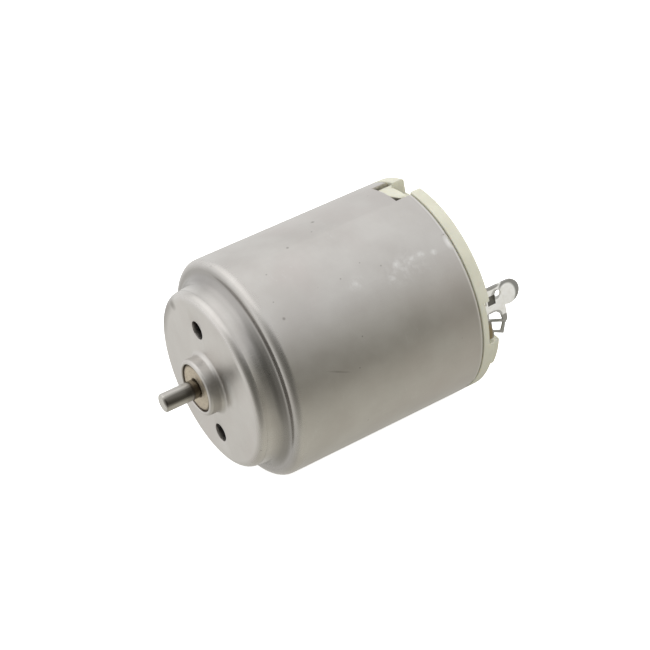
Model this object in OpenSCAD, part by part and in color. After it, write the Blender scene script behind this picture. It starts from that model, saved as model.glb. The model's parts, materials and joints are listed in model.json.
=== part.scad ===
// Small round brushed direct-current motor with a drawn steel can and a moulded end cap.
// The shaft lies along Y: its free end points to -Y and the end cap is at +Y.
// The origin is on the shaft axis, in the plane of the front mounting face.
// The end cap's key is at +Z and its two terminals are at +X and -X.
// Angles about the shaft are measured from +Z towards +X.

/* [Can] */
// Outside diameter of the can
can_d = 23.8; // [20:0.1:28]
// Thickness of the can's drawn sheet
can_wall = 0.7; // [0.6:0.05:0.9]
// Distance from the mounting face to the can's rear rim
can_l = 25.7; // [25:0.1:27]
// Radius of the rounding between the shoulder and the barrel
shoulder_edge = 1.4; // [0.5:0.1:2]

/* [Nose] */
// Outside diameter of the stepped nose
nose_d = 19.26; // [17:0.1:20]
// Depth of the nose, from the mounting face back to the shoulder
nose_l = 2.98; // [2:0.05:3.2]
// Radius of the nose's front edge
nose_edge = 0.9; // [0.3:0.1:1.2]
// Outside diameter of the boss around the front bearing
boss_d = 6.14; // [6:0.02:7]
// Distance that the boss stands out of the mounting face
boss_l = 1.65; // [1:0.05:2]

/* [Mounting holes] */
// Diameter of the circle that the mounting holes are on
hole_circle_d = 12; // [11:0.1:14]
// Diameter of each mounting hole
hole_d = 2; // [1.6:0.1:2.6]
// Number of mounting holes
hole_count = 2; // [2:1:4]

/* [Shaft] */
// Diameter of the shaft's free end
shaft_d = 2; // [1.99:0.005:2]
// Diameter of the ground journals that run in the bearings
journal_d = 1.98; // [1.95:0.005:1.98]
// Depth of the oil groove between the free end and the front journal
groove_depth = 0.18; // [0.16:0.01:0.25]
// Bore of both sintered bearings
bearing_bore = 2.02; // [2.02:0.005:2.05]
// Distance from the mounting face to the tip of the shaft
shaft_out = 5.46; // [5:0.1:12]

/* [End cap] */
// Thickness of the cap's visible flange
flange_t = 1.4; // [1.3:0.1:1.5]
// Thickness of the cap's floor under the flange
floor_t = 0.5; // [0.5:0.1:0.8]
// Distance that the key's top lies below the can's surface
key_drop = 0.35; // [0.1:0.05:0.5]
// Height of the guard ribs beside the terminals
guard_h = 0.9; // [0.6:0.1:1.2]

/* [Terminals] */
// Thickness of the terminal sheet
terminal_t = 0.3; // [0.2:0.05:0.4]
// Distance from the shaft axis to the outside of each terminal
terminal_x = 10.75; // [10.6:0.05:10.8]

/* [Rotor] */
// Radius of the rotor's pole faces
rotor_r = 7.6; // [7.3:0.1:7.7]
// Number of laminations in the rotor stack
lamination_count = 21; // [15:1:21]
// Thickness of one lamination and its varnish
lamination_t = 0.5; // [0.35:0.05:0.5]
// Number of rotor poles, windings and commutator bars
pole_count = 3; // [3:1:3]

/* [Hidden] */

$fn = 96;
bite = 0.05;
pole_angle = 360 / pole_count;

// Can
can_r = can_d / 2;
can_inner_r = can_r - can_wall;
nose_r = nose_d / 2;
nose_inner_r = nose_r - can_wall;
shoulder_y = nose_l;
root_fillet_r = 0.7;
boss_fillet_r = 0.35;
boss_edge = 0.4;
inner_edge = 0.3;
notch_front = 23.65;
notch_left = -2.16;
notch_right = 2.42;
crimp_w = 1.5;
crimp_depth = 0.25;
crimp_front = 24.95;
crimp_angles = [45, 135, 225, 315];

// Bearings
bearing_r = 2.6;
bearing_front = -1.5;
bearing_flange_r = 3.5;
bearing_flange_t = 0.6;
bearing_edge = 0.15;
rear_bearing_r = 2.2;
rear_bearing_front = 24.8;

// End cap
cap_rear = can_l + flange_t;
floor_front = can_l - floor_t;
skirt_r = can_inner_r - 0.05;
skirt_inner_r = 10;
skirt_front = 22.8;
flange_edge = 0.3;
key_front = 23.95;
key_left = -1.65;
key_right = 2.1;
key_corner = [1.15, 0.55];
rim_notch_front = 25.35;
rim_notch_floor = 10.2;
rim_notch_left = -1.2;
rim_notch_right = 2;
rear_boss_r = 3.4;
rear_boss_l = 1.1;
guard_r = [10.5, 11.4];
guard_angles = [107, 127];
post_size = [1.2, 3.4, 1.3];

// Terminals and brush gear, drawn for the +X side
lug_rear = 31.4;
lug_r = 1.35;
lug_z = 1.25;
lug_hole_r = 0.38;
lug_hole_y = 28.75;
eye_left = 26.75;
eye_right = 29.5;
eye_low = -3.05;
eye_wall = 0.3;
eye_bar = 0.25;
eye_bar_z = [-1, -1.64];
prong_right = 27.5;
press_mark = [27.4, 0.65, 0.85, 1];
press_mark_t = 0.12;
root_z = [-1.1, 0.8];
pocket_z = [-3.1, 1.8];
pocket_depth = 0.75;
spring_pivot = [5, 7.2];
spring_t = 0.2;
spring_y = [21.3, 23.7];
spring_x = 3.87;
spring_knee_z = 1.7;
spring_tail_z = -1.2;
post_gap = 0.2;
brush_y = [21.5, 23.5];
brush_half_w = 0.9;
brush_gap = 0.05;

// Magnets
magnet_inner_r = 8;
magnet_outer_r = can_inner_r - 0.02;
magnet_y = [4.4, 20];
magnet_half_angle = 62;
clip_t = 0.4;
clip_leg_in = 0.6;
clip_y = [6, 18];

// Rotor
journal_r = journal_d / 2;
groove_y = [-1.75, -1.2];
stack_l = lamination_count * lamination_t;
varnish_t = 0.02;
stack_front = 12 - stack_l / 2;
stack_rear = stack_front + stack_l;
insulator_t = 0.5;
hub_r = 2.9;
tooth_half_w = 1.3;
shoe_t = 1;
shoe_half_angle = 51;
coil_inner = 3;
coil_outer = 6.2;
coil_half_w = 3.1;
coil_overhang = 1.8;
coil_corner_r = 1.4;
coil_gap = 0.05;
bar_r = 2.3;
bar_inner_r = 1.85;
bar_y = [20.95, 24];
bar_slit_angle = 8;
riser_t = 0.5;
riser_r = 2.6;
hook_r = 3.9;
hook_w = 1.2;
varistor_r = 4.3;
washer_t = 0.3;

// Turn a shape drawn along Z so that it lies along the motor's Y
module along_motor() {
    rotate([-90, 0, 0]) children();
}

// Place a shape, drawn with its middle on +X, at an angle about the shaft
module at_angle(angle) {
    along_motor() rotate([0, 0, angle - 90]) children();
}

// The left side's pieces are the right side's, turned half round the shaft
module left_side() {
    rotate([0, 180, 0]) children();
}

// Half-plane profile of a disc whose front corner is rounded
module step_profile(radius, from, to, edge) {
    translate([0, from + edge]) square([radius, to - from - edge]);
    translate([0, from]) square([radius - edge, edge + bite]);
    translate([radius - edge, from + edge]) circle(edge);
}

// Half-plane profile of the fillet where a step's wall meets the plane behind it
module root_profile(radius, at, fillet) {
    translate([radius, at - fillet]) difference() {
        translate([-bite, 0]) square([fillet + bite, fillet + bite]);
        translate([fillet, 0]) circle(fillet);
    }
}

// Tube around the shaft
module tube(outer, inner, from, to) {
    along_motor() translate([0, 0, from]) linear_extrude(to - from) difference() {
        circle(outer);
        circle(inner);
    }
}

// Flat outline of a pie slice, centred on +X
module slice(radius, half_angle) {
    steps = 6;
    polygon(concat([[0, 0]], [
        for (i = [-steps:steps]) radius * [cos(i * half_angle / steps), sin(i * half_angle / steps)]
    ]));
}

// Part of a tube, between two angles
module tube_part(outer, inner, from, to, middle, half_angle) {
    at_angle(middle) translate([0, 0, from]) linear_extrude(to - from) intersection() {
        difference() {
            circle(outer);
            circle(inner);
        }
        slice(outer * 1.4, half_angle);
    }
}

// Rectangle with round corners, centred on the origin
module rounded_rectangle(size, corner) {
    square([size[0] - 2 * corner, size[1]], center = true);
    square([size[0], size[1] - 2 * corner], center = true);
    for (x = [-1, 1], y = [-1, 1]) {
        translate([x * (size[0] / 2 - corner), y * (size[1] / 2 - corner)]) circle(corner);
    }
}

// Sheet lying in the Y-Z plane: the outline's first axis is Y and its second is Z
module sheet_at(x, thickness) {
    translate([x - thickness, 0, 0]) rotate([90, 0, 90]) linear_extrude(thickness) children();
}

// Sheet lying in the X-Z plane: the outline's first axis is X and its second is Z
module sheet_across(from, to) {
    translate([0, to, 0]) rotate([90, 0, 0]) linear_extrude(to - from) children();
}

module can_profile() {
    difference() {
        union() {
            step_profile(boss_d / 2, -boss_l, bite, boss_edge);
            root_profile(boss_d / 2, 0, boss_fillet_r);
            step_profile(nose_r, 0, shoulder_y + bite, nose_edge);
            root_profile(nose_r, shoulder_y, root_fillet_r);
            step_profile(can_r, shoulder_y, can_l, shoulder_edge);
        }
        translate([0, -boss_l - bite]) square([bearing_r, boss_l + can_wall + 2 * bite]);
        step_profile(nose_inner_r, can_wall, shoulder_y + can_wall + bite, inner_edge);
        step_profile(can_inner_r, shoulder_y + can_wall, can_l + bite, shoulder_edge - can_wall + bite);
    }
}

// Room around the key in the rear rim, for the key at +Z
module rim_notch() {
    translate([notch_left, notch_front, can_inner_r - 3]) {
        cube([notch_right - notch_left, can_l - notch_front + bite, 5]);
    }
}

module can() {
    color("silver") {
        difference() {
            along_motor() rotate_extrude() can_profile();
            for (i = [0:hole_count - 1]) {
                at_angle(i * 360 / hole_count) translate([hole_circle_d / 2, 0, -bite]) {
                    cylinder(d = hole_d, h = can_wall + 2 * bite);
                }
            }
            rim_notch();
            left_side() rim_notch();
            for (angle = crimp_angles) {
                at_angle(angle) translate([can_r - crimp_depth, -crimp_w / 2, crimp_front]) {
                    cube([1, crimp_w, 1]);
                }
            }
        }
        for (angle = crimp_angles) {
            at_angle(angle) translate([can_inner_r - crimp_depth, -crimp_w / 2, crimp_front]) {
                cube([crimp_depth + can_wall / 4, crimp_w, can_l - crimp_front]);
            }
        }
    }
}

module front_bearing() {
    color("tan") along_motor() rotate_extrude() difference() {
        union() {
            step_profile(bearing_r, bearing_front, can_wall, bearing_edge);
            translate([0, can_wall]) square([bearing_flange_r, bearing_flange_t]);
        }
        translate([0, -boss_l]) square([bearing_bore / 2, boss_l + can_wall + bearing_flange_t + bite]);
    }
}

module rear_bearing() {
    rear = cap_rear + rear_boss_l - 0.2;
    color("tan") along_motor() rotate_extrude() difference() {
        translate([0, rear_bearing_front + rear]) mirror([0, 1]) {
            step_profile(rear_bearing_r, rear_bearing_front, rear, bearing_edge);
        }
        translate([0, rear_bearing_front - bite]) square([bearing_bore / 2, rear]);
    }
}

module magnet(angle) {
    color("dimgray") {
        tube_part(magnet_outer_r, magnet_inner_r, magnet_y[0], magnet_y[1], angle, magnet_half_angle);
    }
}

// U-shaped spring that pushes the magnets' lower edges apart
module magnet_clip() {
    half_angle = 90 - magnet_half_angle - 0.5;
    leg_angle = clip_t / magnet_inner_r * 180 / PI;
    color("lightsteelblue") at_angle(180) translate([0, 0, clip_y[0]]) {
        linear_extrude(clip_y[1] - clip_y[0]) difference() {
            intersection() {
                circle(magnet_outer_r);
                slice(can_r * 1.4, half_angle);
            }
            circle(magnet_inner_r + clip_leg_in);
            intersection() {
                circle(magnet_outer_r - clip_t);
                slice(can_r, half_angle - leg_angle);
            }
        }
    }
}

// Key at +Z, which fills the can's rim notch but for a slit and one corner
module cap_key() {
    intersection() {
        linear_extrude(2 * can_r) polygon([
            [key_left, key_front],
            [key_right - key_corner[0], key_front],
            [key_right, key_front + key_corner[1]],
            [key_right, can_l + bite],
            [key_left, can_l + bite]
        ]);
        tube(can_r - key_drop, skirt_inner_r, key_front, can_l + bite);
    }
}

// Room around one terminal: a shallow pocket in the rim and a slot through the floor
module terminal_pocket() {
    translate([terminal_x - 0.45, cap_rear - pocket_depth, pocket_z[0]]) {
        cube([3, 1, pocket_z[1] - pocket_z[0]]);
    }
    translate([terminal_x - terminal_t - 0.05, skirt_front - bite, root_z[0] - 0.05]) {
        cube([terminal_t + 0.1, 5, root_z[1] - root_z[0] + 0.1]);
    }
    translate([skirt_inner_r - 0.5, skirt_front - bite, root_z[0] - 0.05]) {
        cube([terminal_x - skirt_inner_r + 0.5, floor_front - skirt_front + bite, root_z[1] - root_z[0] + 0.1]);
    }
    translate([terminal_x - 0.7, floor_front - bite, root_z[1] + 0.15]) {
        cube([0.75, 3, 0.8]);
    }
}

// Window in the floor beside the brush gear
module cap_window() {
    translate([-6.4, floor_front - bite, 6]) cube([2.6, 3, 2]);
}

// Gap in the skirt around the key, so that the can's rim notch opens inwards beside it
module skirt_gap() {
    translate([notch_left, skirt_front - bite, 0]) {
        cube([notch_right - notch_left, floor_front - skirt_front + bite, can_r]);
    }
}

module cap_side() {
    tube_part(guard_r[1], guard_r[0], cap_rear - bite, cap_rear + guard_h,
        (guard_angles[0] + guard_angles[1]) / 2, (guard_angles[1] - guard_angles[0]) / 2);
    translate([spring_pivot[0] - post_size[0] / 2, floor_front - post_size[1], spring_pivot[1] + post_gap + 0.35]) {
        cube([post_size[0], post_size[1] + bite, post_size[2]]);
    }
    cap_key();
}

module end_cap() {
    color("beige") difference() {
        union() {
            along_motor() rotate_extrude() {
                translate([0, floor_front]) square([skirt_r, floor_t + bite]);
                translate([0, can_l + cap_rear]) mirror([0, 1]) {
                    step_profile(can_r, can_l, cap_rear, flange_edge);
                }
                translate([0, cap_rear * 2 + rear_boss_l - bite]) mirror([0, 1]) {
                    step_profile(rear_boss_r, cap_rear, cap_rear + rear_boss_l, flange_edge);
                }
            }
            difference() {
                tube(skirt_r, skirt_inner_r, skirt_front, can_l);
                skirt_gap();
                left_side() skirt_gap();
            }
            cap_side();
            left_side() cap_side();
        }
        tube(rear_bearing_r, 0, floor_front - 1, cap_rear + rear_boss_l + 1);
        tube(9, 5, cap_rear - 0.3, cap_rear + 1);
        for (turn = [0, 180]) rotate([0, turn, 0]) {
            terminal_pocket();
            cap_window();
            translate([rim_notch_left, rim_notch_front, rim_notch_floor]) {
                cube([rim_notch_right - rim_notch_left, 3, 3]);
            }
        }
        for (angle = crimp_angles) {
            at_angle(angle) translate([can_inner_r - crimp_depth - 0.1, -crimp_w / 2 - 0.1, crimp_front - 0.1]) {
                cube([1, crimp_w + 0.2, can_l - crimp_front + 0.1]);
            }
        }
    }
}

// Flat eye below the lug: a squarish loop with a slanting bar, beside a short prong
module eye_outline() {
    inner_right = eye_right - 0.55;
    difference() {
        polygon([
            [eye_left, 0.1],
            [eye_right, 0.1],
            [eye_right, eye_bar_z[1]],
            [eye_right - 0.35, eye_bar_z[1] - 0.35],
            [eye_right - 0.75, eye_low],
            [prong_right + 0.1, eye_low + 0.55],
            [prong_right, eye_low],
            [eye_left, eye_low]
        ]);
        polygon([
            [prong_right - 0.2, eye_bar_z[0] + eye_bar / 2],
            [inner_right, eye_bar_z[1] + eye_bar / 2],
            [inner_right - 0.15, -eye_wall - 0.5],
            [inner_right - 0.75, -eye_wall],
            [prong_right - 0.2, -eye_wall]
        ]);
        polygon([
            [prong_right, eye_bar_z[0] - eye_bar / 2 - 0.1],
            [inner_right, eye_bar_z[1] - eye_bar / 2 - 0.05],
            [inner_right - 0.4, eye_low + 0.4],
            [prong_right, eye_low + 0.85]
        ]);
    }
}

// Outline of the solder lug: a round ear above and a barred eye below
module lug_outline() {
    difference() {
        union() {
            translate([lug_rear - lug_r, lug_z]) circle(lug_r);
            translate([cap_rear + 0.1, 0]) square([lug_rear - lug_r - cap_rear - 0.1, lug_z + lug_r]);
            translate([floor_front - 0.3, root_z[0]]) {
                square([cap_rear - floor_front + 0.6, root_z[1] - root_z[0]]);
            }
            eye_outline();
        }
        translate([lug_hole_y, lug_z + 0.35]) circle(lug_hole_r);
        translate([eye_right + 1.5, -1.45]) circle(1.4);
        translate([prong_right - 0.2, eye_bar_z[0] + eye_bar / 2]) {
            square([0.6, -eye_wall - eye_bar_z[0] - eye_bar / 2]);
        }
    }
}

// Strip inside the cap that leads from the lug to the brush spring's post
module inner_strip_outline() {
    post_z = spring_pivot[1] + post_gap;
    polygon([
        [terminal_x, root_z[0]],
        [terminal_x, root_z[1]],
        [9.2, root_z[1]],
        [6, post_z + 0.3],
        [spring_pivot[0] - 0.3, post_z + 0.3],
        [spring_pivot[0] - 0.3, post_z],
        [5.4, 6.2],
        [8.1, root_z[0]]
    ]);
}

module terminal() {
    strip_y = floor_front - terminal_t;
    post_z = spring_pivot[1] + post_gap;
    color("gainsboro") {
        difference() {
            sheet_at(terminal_x, terminal_t) lug_outline();
            translate([terminal_x - press_mark_t, press_mark[0], press_mark[1]]) {
                cube([1, press_mark[2], press_mark[3]]);
            }
        }
        sheet_across(strip_y, floor_front) inner_strip_outline();
        translate([spring_pivot[0] - 0.3, spring_y[0], post_z]) {
            cube([0.6, floor_front - spring_y[0], 0.3]);
        }
    }
}

// Leaf spring: it slopes down from its rounded root, and its end lies along the brush
module brush_spring() {
    color("goldenrod") sheet_across(spring_y[0], spring_y[1]) {
        translate(spring_pivot) circle(spring_t / 2);
        polygon([
            [spring_pivot[0] - spring_t / 2, spring_pivot[1]],
            [spring_pivot[0] + spring_t / 2, spring_pivot[1]],
            [spring_x + spring_t, spring_knee_z],
            [spring_x + spring_t, spring_tail_z],
            [spring_x, spring_tail_z],
            [spring_x, spring_knee_z + 0.02]
        ]);
    }
}

module brush() {
    color("darkslategray") difference() {
        translate([brush_half_w, brush_y[0], -brush_half_w]) {
            cube([spring_x - brush_half_w, brush_y[1] - brush_y[0], 2 * brush_half_w]);
        }
        tube(bar_r + brush_gap, 0, brush_y[0] - 1, brush_y[1] + 1);
    }
}

module shaft() {
    rear = cap_rear + rear_boss_l - 0.1;
    chamfer = 0.25;
    color("lightgray") along_motor() rotate_extrude() polygon([
        [0, -shaft_out],
        [shaft_d / 2 - chamfer, -shaft_out],
        [shaft_d / 2, -shaft_out + chamfer],
        [shaft_d / 2, groove_y[0]],
        [shaft_d / 2 - groove_depth, groove_y[0]],
        [shaft_d / 2 - groove_depth, groove_y[1]],
        [journal_r, groove_y[1]],
        [journal_r, rear - chamfer],
        [journal_r - chamfer, rear],
        [0, rear]
    ]);
}

module front_washer() {
    front = can_wall + bearing_flange_t + 0.05;
    color("ivory") tube(1.9, journal_r, front, front + washer_t);
}

module front_spacer() {
    front = can_wall + bearing_flange_t + 0.05 + washer_t;
    color("khaki") tube(1.75, journal_r, front, stack_front - insulator_t);
}

// Outline of one lamination: hub, teeth and pole shoes
module lamination_outline() {
    difference() {
        union() {
            circle(hub_r);
            for (i = [0:pole_count - 1]) rotate(i * pole_angle - 90) {
                translate([0, -tooth_half_w]) square([rotor_r - shoe_t / 2, 2 * tooth_half_w]);
                intersection() {
                    difference() {
                        circle(rotor_r);
                        circle(rotor_r - shoe_t);
                    }
                    slice(rotor_r * 1.4, shoe_half_angle);
                }
            }
        }
        circle(journal_r);
    }
}

module rotor_laminations() {
    color("slategray") for (i = [0:lamination_count - 1]) {
        along_motor() translate([0, 0, stack_front + i * lamination_t]) {
            linear_extrude(lamination_t - varnish_t) lamination_outline();
        }
    }
}

module insulator(from) {
    color("seagreen") along_motor() translate([0, 0, from]) {
        linear_extrude(insulator_t) lamination_outline();
    }
}

// Winding around the tooth at the given angle
module winding(angle) {
    inner_l = stack_l + 2 * insulator_t + 2 * coil_gap;
    color("sienna") at_angle(angle) translate([0, 0, (stack_front + stack_rear) / 2]) intersection() {
        translate([coil_inner, 0, 0]) rotate([90, 0, 90]) {
            linear_extrude(coil_outer - coil_inner) difference() {
                rounded_rectangle([2 * coil_half_w, inner_l + 2 * coil_overhang], coil_corner_r);
                square([2 * (tooth_half_w + coil_gap), inner_l], center = true);
            }
        }
        cylinder(r = rotor_r - shoe_t - coil_gap, h = inner_l + 3 * coil_overhang, center = true);
    }
}

module commutator_sleeve() {
    flange_front = bar_y[0] - riser_t - 0.75;
    color("darkred") {
        tube(bar_inner_r, journal_r, stack_rear + insulator_t, bar_y[1] + 0.2);
        tube(3, bar_inner_r - bite, flange_front, bar_y[0] - riser_t);
    }
}

// Copper bar, its riser and the hook that a winding is soldered to
module commutator_bar(angle) {
    half_angle = (pole_angle - bar_slit_angle) / 2;
    color("peru") {
        tube_part(bar_r, bar_inner_r, bar_y[0] - bite, bar_y[1], angle, half_angle);
        tube_part(riser_r, bar_inner_r, bar_y[0] - riser_t, bar_y[0], angle, half_angle);
        at_angle(angle) translate([riser_r - 0.2, -hook_w / 2, bar_y[0] - riser_t]) {
            cube([hook_r - riser_r + 0.2, hook_w, riser_t]);
        }
    }
}

module commutator_ring() {
    color("ivory") tube(bar_r + 0.45, bar_r, bar_y[0], bar_y[0] + 0.3);
}

module varistor_ring() {
    rear = bar_y[0] - riser_t;
    color("darkslateblue") tube(varistor_r, 3.05, rear - washer_t * 2, rear);
}

module rear_washer() {
    front = bar_y[1] + 0.2;
    color("ivory") tube(1.8, journal_r, front, front + washer_t);
}

can();
front_bearing();
magnet(90);  // magnet_right
magnet(270);  // magnet_left
magnet_clip();
end_cap();
rear_bearing();
terminal();  // terminal_right
left_side() terminal();  // terminal_left
brush_spring();  // brush_spring_right
brush();  // brush_right
left_side() brush_spring();  // brush_spring_left
left_side() brush();  // brush_left
shaft();
front_washer();
front_spacer();
rotor_laminations();
insulator(stack_front - insulator_t);  // front_insulator
insulator(stack_rear);  // rear_insulator
winding(0);  // winding_a
winding(pole_angle);  // winding_b
winding(2 * pole_angle);  // winding_c
commutator_sleeve();
commutator_bar(0);  // commutator_bar_a
commutator_bar(pole_angle);  // commutator_bar_b
commutator_bar(2 * pole_angle);  // commutator_bar_c
commutator_ring();
varistor_ring();
rear_washer();
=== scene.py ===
"""Looks of a small round brushed motor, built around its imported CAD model."""

import json
import math
import random

import bmesh
import bpy
from mathutils import Matrix, Vector

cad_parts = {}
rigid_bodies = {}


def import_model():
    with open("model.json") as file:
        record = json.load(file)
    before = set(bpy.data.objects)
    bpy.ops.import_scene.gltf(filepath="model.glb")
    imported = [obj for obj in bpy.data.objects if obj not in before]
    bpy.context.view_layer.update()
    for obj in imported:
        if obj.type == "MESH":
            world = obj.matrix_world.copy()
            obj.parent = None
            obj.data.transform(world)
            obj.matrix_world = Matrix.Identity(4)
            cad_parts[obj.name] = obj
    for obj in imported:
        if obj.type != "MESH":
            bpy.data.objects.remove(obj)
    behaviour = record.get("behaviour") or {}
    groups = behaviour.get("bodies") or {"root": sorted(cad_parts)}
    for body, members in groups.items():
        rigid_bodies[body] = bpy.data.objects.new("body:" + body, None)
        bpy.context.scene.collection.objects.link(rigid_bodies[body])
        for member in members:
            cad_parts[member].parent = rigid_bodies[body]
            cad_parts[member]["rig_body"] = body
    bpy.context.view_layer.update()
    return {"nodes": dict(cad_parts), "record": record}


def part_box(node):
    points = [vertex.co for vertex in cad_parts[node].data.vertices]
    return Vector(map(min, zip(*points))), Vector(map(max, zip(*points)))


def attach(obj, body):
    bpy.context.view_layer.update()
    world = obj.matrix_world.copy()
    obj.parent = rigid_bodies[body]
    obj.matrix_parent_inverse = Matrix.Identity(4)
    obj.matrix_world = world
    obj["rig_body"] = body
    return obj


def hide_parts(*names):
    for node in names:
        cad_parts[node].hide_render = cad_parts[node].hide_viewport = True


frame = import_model()
random.seed(7)

MM = 0.001

# Driving sizes in millimetres, as in the CAD model; what the frame can say comes from the frame
can_low, can_high = (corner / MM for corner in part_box("can"))
shaft_low, shaft_high = (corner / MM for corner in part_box("shaft"))
bearing_low, bearing_high = (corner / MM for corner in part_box("front_bearing"))
rear_bearing_low, rear_bearing_high = (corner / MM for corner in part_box("rear_bearing"))

CAN_R = can_high.x
CAN_REAR = can_high.y
BOSS_FRONT = can_low.y
CAN_WALL = 0.7
CAN_INNER_R = CAN_R - CAN_WALL
NOSE_R = 9.63
SHOULDER_Y = 2.98
BOSS_R = 3.07
HOLE_R = 1.0
HOLE_CIRCLE_R = 6.0
NOTCH_LEFT = -2.16
NOTCH_RIGHT = 2.42
NOTCH_FRONT = 23.65
CRIMP_ANGLES = (45, 135, 225, 315)
CRIMP_HALF_W = 0.75
CRIMP_DEPTH = 0.25
CRIMP_FRONT = 24.95

SEAT_R = 2.6
BORE_R = 1.01
BEARING_FLANGE_R = 3.5
SHAFT_R = 1.0
JOURNAL_R = 0.99
GROOVE_R = SHAFT_R - 0.18
GROOVE_FRONT = -1.75
GROOVE_REAR = -1.2

CAP_REAR = 27.1
CAP_FLOOR_FRONT = 25.2
SKIRT_FRONT = 22.8
SKIRT_R = CAN_INNER_R - 0.05
SKIRT_INNER_R = 10
REAR_BOSS_R = 3.4
REAR_BOSS_REAR = 28.2
REAR_SEAT_R = 2.2
RECESS_R = (5, 9)
RECESS_DEPTH = 0.3
TERMINAL_X = 10.6

TURN_STEPS = 256
BUSH_STEPS = 128
SHAFT_STEPS = 96
SAME_POINT = 1e-7  # metres, for points turned onto the shaft's axis
SAME_CORNER = 1e-6  # metres, for corners that the CAD mesh repeats
SHORTEST_EDGE = 0.01
MARK_REACH = 0.6  # half size through the surface of a mark on the can's side


# ---------------------------------------------------------------- shapes

def rounded(corners, steps=6):
    """Closed outline through (x, y, radius) corners, each rounded to its own radius."""
    outline = []
    for i, (x, y, radius) in enumerate(corners):
        corner = Vector((x, y))
        before = Vector(corners[i - 1][:2]) - corner
        after = Vector(corners[(i + 1) % len(corners)][:2]) - corner
        if radius <= 0:
            outline.append((x, y))
            continue
        half = before.angle(after) / 2
        reach = radius / math.tan(half)
        inwards = (before.normalized() + after.normalized()).normalized()
        centre = corner + inwards * radius / math.sin(half)
        start = corner + before.normalized() * reach - centre
        end = corner + after.normalized() * reach - centre
        sweep = math.atan2(start.x * end.y - start.y * end.x, start.dot(end))
        for step in range(steps + 1):
            outline.append(tuple(centre + Matrix.Rotation(sweep * step / steps, 2) @ start))
    return outline


def around(radius, y, angle):
    """Point in metres at an angle about the shaft, measured from +Z towards +X."""
    return Vector((radius * math.sin(angle), y, radius * math.cos(angle))) * MM


def new_piece(name, bm, turn_faces=True):
    """Object made from a bmesh, with its faces turned outwards unless they are already."""
    if turn_faces:
        bmesh.ops.recalc_face_normals(bm, faces=bm.faces)
    mesh = bpy.data.meshes.new(name)
    bm.to_mesh(mesh)
    bm.free()
    piece = bpy.data.objects.new(name, mesh)
    bpy.context.scene.collection.objects.link(piece)
    return piece


def turned(name, outline, start=0.0, end=360.0, steps=TURN_STEPS):
    """Outline of (radius, y) points turned about the shaft, from one angle to another."""
    whole = end - start >= 360
    count = steps if whole else steps + 1
    bm = bmesh.new()
    rows = []
    for i in range(count):
        angle = math.radians(start + (end - start) * i / steps)
        rows.append([bm.verts.new(around(radius, y, angle)) for radius, y in outline])
    for i in range(steps):
        row, following = rows[i], rows[(i + 1) % count]
        for j in range(len(outline)):
            k = (j + 1) % len(outline)
            bm.faces.new((row[j], row[k], following[k], following[j]))
    if not whole:
        bm.faces.new(rows[0])
        bm.faces.new(rows[-1])
    bmesh.ops.remove_doubles(bm, verts=bm.verts, dist=SAME_POINT)
    return new_piece(name, bm)


def block(name, low, high):
    """Box between two corners in millimetres, for joining and cutting."""
    bm = bmesh.new()
    bmesh.ops.create_cube(bm, size=1)
    for vert in bm.verts:
        for axis in range(3):
            vert.co[axis] = (low[axis] if vert.co[axis] < 0 else high[axis]) * MM
    return new_piece(name, bm)


def prism(name, low_end, high_end):
    """Solid between two matching rings of points in metres."""
    bm = bmesh.new()
    ends = [[bm.verts.new(point) for point in ring] for ring in (low_end, high_end)]
    for i in range(len(low_end)):
        k = (i + 1) % len(low_end)
        bm.faces.new((ends[0][i], ends[0][k], ends[1][k], ends[1][i]))
    bm.faces.new(ends[0])
    bm.faces.new(ends[1])
    return new_piece(name, bm)


def rod(name, radius, low, high, z, steps=64):
    """Round bar along Y at a height, turned a little so that no corner meets the can's seam."""
    centre = Vector((0, 0, z)) * MM
    angles = [math.tau * (i + 0.4) / steps for i in range(steps)]
    ends = ([around(radius, y, angle) + centre for angle in angles] for y in (low, high))
    return prism(name, *ends)


def sheet_block(name, outline, low, high):
    """Outline in X and Y pulled up along Z, in millimetres."""
    ends = ([(x * MM, y * MM, z * MM) for x, y in outline] for z in (low, high))
    return prism(name, *ends)


def turn_about_shaft(piece, degrees):
    """Turn a piece's mesh about the shaft by an angle from +Z towards +X."""
    piece.data.transform(Matrix.Rotation(math.radians(degrees), 4, "Y"))
    return piece


def bake(piece):
    """Apply a piece's modifiers."""
    depsgraph = bpy.context.evaluated_depsgraph_get()
    mesh = bpy.data.meshes.new_from_object(piece.evaluated_get(depsgraph))
    piece.modifiers.clear()
    piece.data = mesh
    return piece


def combine(piece, other, operation):
    """Join another solid to a piece, cut it away or keep what both hold; the other is used up."""
    modifier = piece.modifiers.new("combine", "BOOLEAN")
    modifier.operation = operation
    modifier.solver = "EXACT"
    modifier.object = other
    bake(piece)
    bpy.data.objects.remove(other)
    return piece


def finish_edges(piece, width, angle=40.0):
    """Round the edges that are sharper than the angle, and shade the rest smoothly.

    Slivers left by the cuts go first, as they would hold the rounding back.
    """
    if width:
        bm = bmesh.new()
        bm.from_mesh(piece.data)
        bmesh.ops.dissolve_degenerate(bm, dist=SHORTEST_EDGE * MM, edges=bm.edges)
        bm.to_mesh(piece.data)
        bm.free()
        bevel = piece.modifiers.new("edges", "BEVEL")
        bevel.width = width * MM
        bevel.segments = 2
        bevel.limit_method = "ANGLE"
        bevel.angle_limit = math.radians(angle)
        bevel.use_clamp_overlap = True
        bake(piece)
    piece.data.shade_smooth()
    piece.data.set_sharp_from_angle(angle=math.radians(angle))
    return piece


# ---------------------------------------------------------------- materials

# A Mix node has a socket of each name for every kind of data; these are the ones for colours
MIX_FACTOR, MIX_A, MIX_B, MIX_RESULT = 0, 6, 7, 2


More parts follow.
